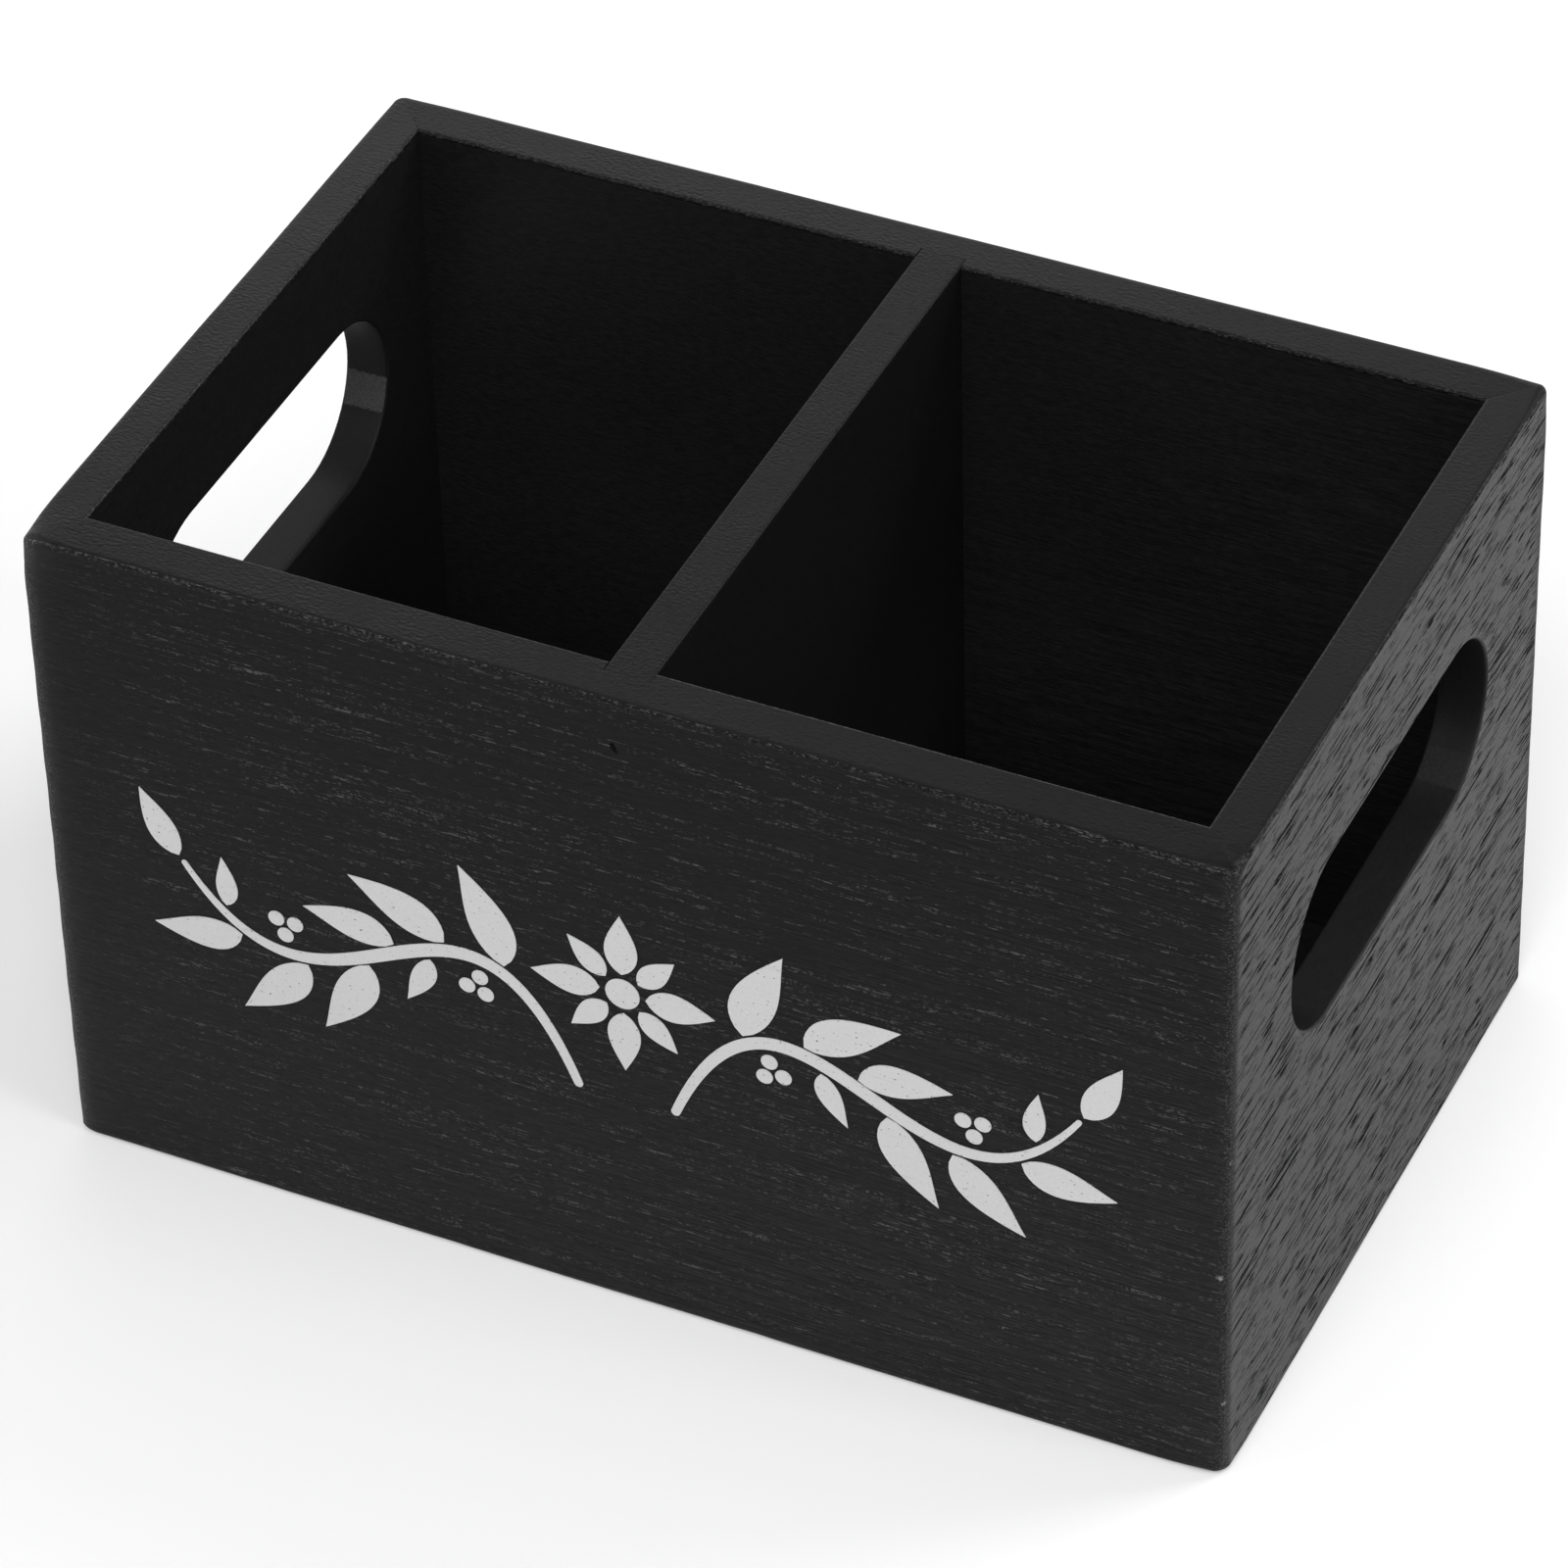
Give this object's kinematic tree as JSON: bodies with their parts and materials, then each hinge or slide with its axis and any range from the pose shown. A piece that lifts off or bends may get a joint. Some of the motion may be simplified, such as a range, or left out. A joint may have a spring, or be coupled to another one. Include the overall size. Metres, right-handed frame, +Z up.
{
  "type": "remote control holder",
  "caption": "Open wooden box with a divider that makes two compartments, a hand hole in each end and a stencilled ornament on its front, to hold remote controls upright.",
  "frame": {"origin": "on the surface it stands on, under the middle of the box", "axes": "+X to the right along the decorated front, from hand hole end to hand hole end; +Y from the front to the back; +Z up"},
  "size_m": [0.18, 0.1151, 0.11],
  "materials": {
    "black_paint": "satin black paint over open-grained wood",
    "brad_steel": "bright wire, painted over at the head",
    "silver_white_paint": "matt silver-white stencil paint"
  },
  "bodies": {
    "root": {"front_board": "black_paint", "back_board": "black_paint", "left_end_board": "black_paint", "right_end_board": "black_paint", "divider": "black_paint", "bottom_panel": "black_paint", "divider_brads": "brad_steel", "front_ornament": "silver_white_paint"}
  },
  "joints": []
}
